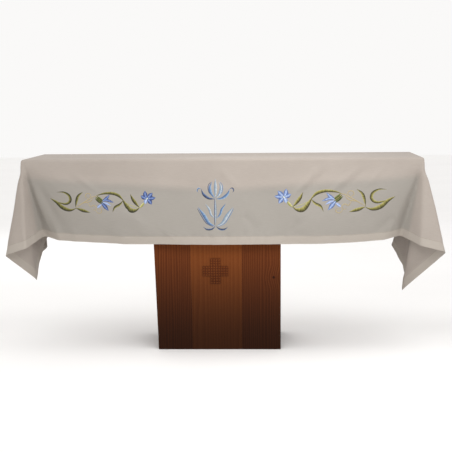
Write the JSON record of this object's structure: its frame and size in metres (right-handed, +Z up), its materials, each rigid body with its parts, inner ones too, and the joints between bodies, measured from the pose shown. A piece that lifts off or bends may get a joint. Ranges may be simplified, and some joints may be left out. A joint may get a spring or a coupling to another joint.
{
  "type": "embroidered altar cloth on an altar table",
  "caption": "Long draped altar cloth with folded corner flaps over a plain wooden altar table on a boarded pedestal with a small cross.",
  "frame": {"origin": "on the floor under the middle of the outer box of cloth and table, 68 mm behind the table's centre", "axes": "+X to the right along the table as seen from the front, +Y towards the back, +Z up"},
  "size_m": [2.1976, 0.7715, 0.9715],
  "materials": {
    "cream_linen": "cream linen, matt plain weave",
    "plain_board": "plain planed board, unfinished",
    "stained_softwood": "red-brown stained softwood, satin",
    "stained_panel": "red-brown stained panel, satin",
    "pale_cross": "worn gilded wood"
  },
  "bodies": {
    "root": {"altar_cloth": "cream_linen", "table_top": "plain_board", "front_left_board": "stained_softwood", "front_centre_panel": "stained_panel", "front_right_board": "stained_softwood", "side_board_left": "stained_softwood", "side_board_right": "stained_softwood", "back_board": "stained_softwood", "cross_plate": "pale_cross"}
  },
  "joints": []
}
